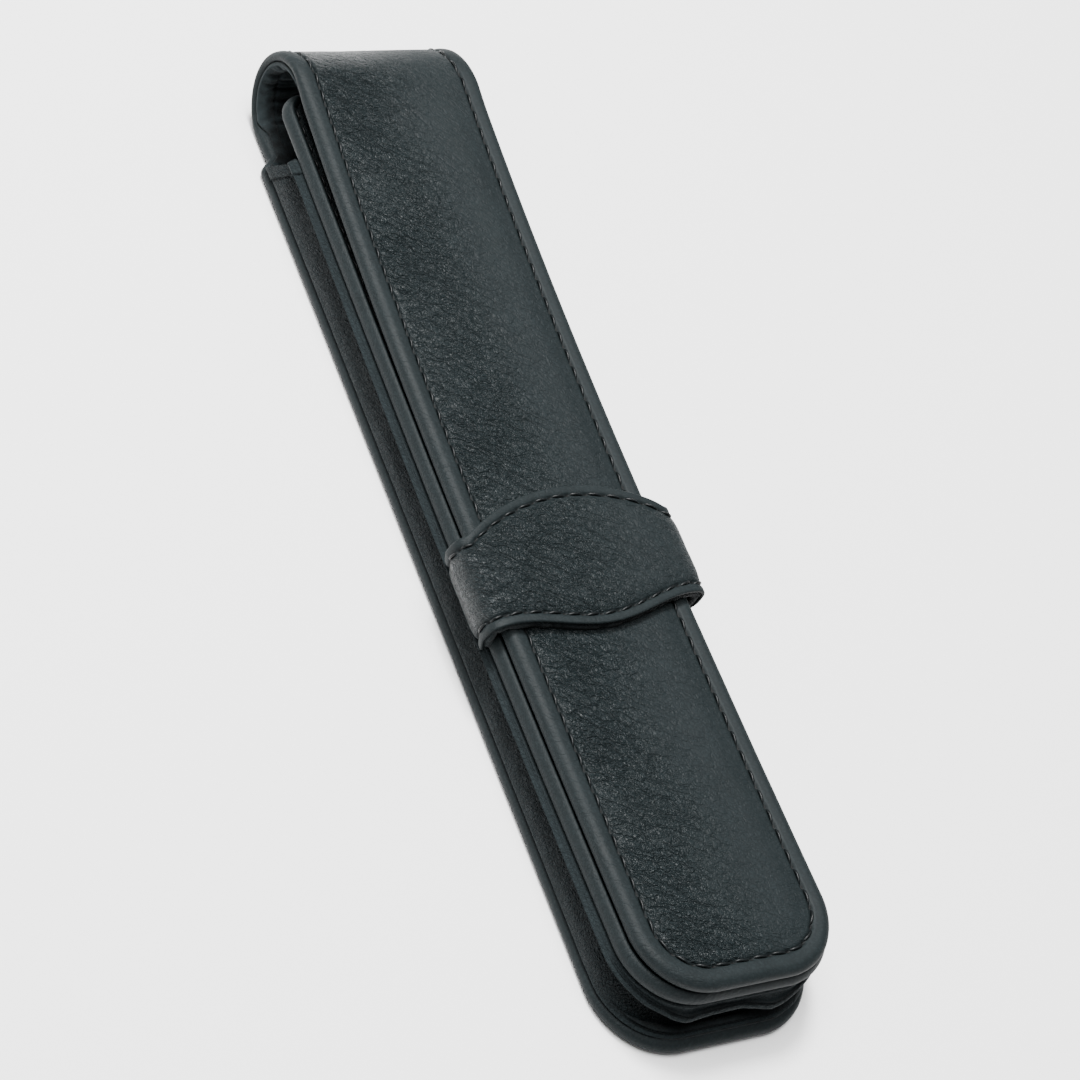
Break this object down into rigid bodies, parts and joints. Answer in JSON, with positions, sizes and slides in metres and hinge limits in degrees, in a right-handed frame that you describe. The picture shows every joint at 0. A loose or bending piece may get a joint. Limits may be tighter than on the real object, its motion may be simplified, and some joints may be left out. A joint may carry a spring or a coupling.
{
  "type": "fountain pen case",
  "caption": "Flat leather pouch for a fountain pen, with a gusset round three sides and a long flap that folds over the mouth and tucks under a band.",
  "frame": {"origin": "bottom centre of the closed case as it lies on its back", "axes": "+X across the case, +Y from the closed end to the fold over the mouth, +Z out of the flap"},
  "size_m": [0.0396, 0.168, 0.0174],
  "materials": {
    "case_leather": "charcoal pebble-grain cowhide, semi-matt, with rolled edges",
    "gusset_leather": "thinner charcoal pebble-grain cowhide, matt, creased along its folds",
    "lining_suede": "near-black split suede, napped side out",
    "seam_thread": "dark grey bonded polyester thread, slightly glossy",
    "stiffener_board": "bonded leather board, plain, hidden between leather and lining"
  },
  "bodies": {
    "pouch": {"back_outer": "case_leather", "back_board": "stiffener_board", "back_lining": "lining_suede", "back_stitching": "seam_thread", "fold_outer_1": "case_leather", "fold_lining_1": "lining_suede", "front_outer": "case_leather", "front_board": "stiffener_board", "front_lining": "lining_suede", "front_stitching": "seam_thread", "gusset_outer": "gusset_leather", "gusset_lining": "lining_suede", "gusset_hem_left": "gusset_leather", "gusset_hem_right": "gusset_leather", "strap_outer": "case_leather", "strap_lining": "lining_suede", "strap_stitching_upper": "seam_thread", "strap_stitching_lower": "seam_thread"},
    "fold_lower": {"fold_outer_2": "case_leather", "fold_lining_2": "lining_suede"},
    "fold_upper": {"fold_outer_3": "case_leather", "fold_lining_3": "lining_suede"},
    "flap": {"flap_outer": "case_leather", "flap_filler": "stiffener_board", "flap_lining": "lining_suede", "flap_stitching": "seam_thread"}
  },
  "joints": [
    {"name": "fold_bend_lower", "type": "hinge", "parent": "pouch", "child": "fold_lower", "pos_m": [0, 0.07978, 0.00124], "axis": [-1, 0, 0], "range_deg": [0, 60]},
    {"name": "fold_bend_upper", "type": "hinge", "parent": "fold_lower", "child": "fold_upper", "pos_m": [0, 0.08399, 0.00916], "axis": [-1, 0, 0], "range_deg": [0, 60]},
    {"name": "flap_open", "type": "hinge", "parent": "fold_upper", "child": "flap", "pos_m": [0, 0.07898, 0.01658], "axis": [-1, 0, 0], "range_deg": [0, 60], "deforming": ["strap_outer", "strap_lining", "strap_stitching_upper", "strap_stitching_lower"]}
  ],
  "couplings": [
    {"joint": "fold_bend_lower", "follows": "flap_open", "ratio": 1},
    {"joint": "fold_bend_upper", "follows": "flap_open", "ratio": 1}
  ]
}
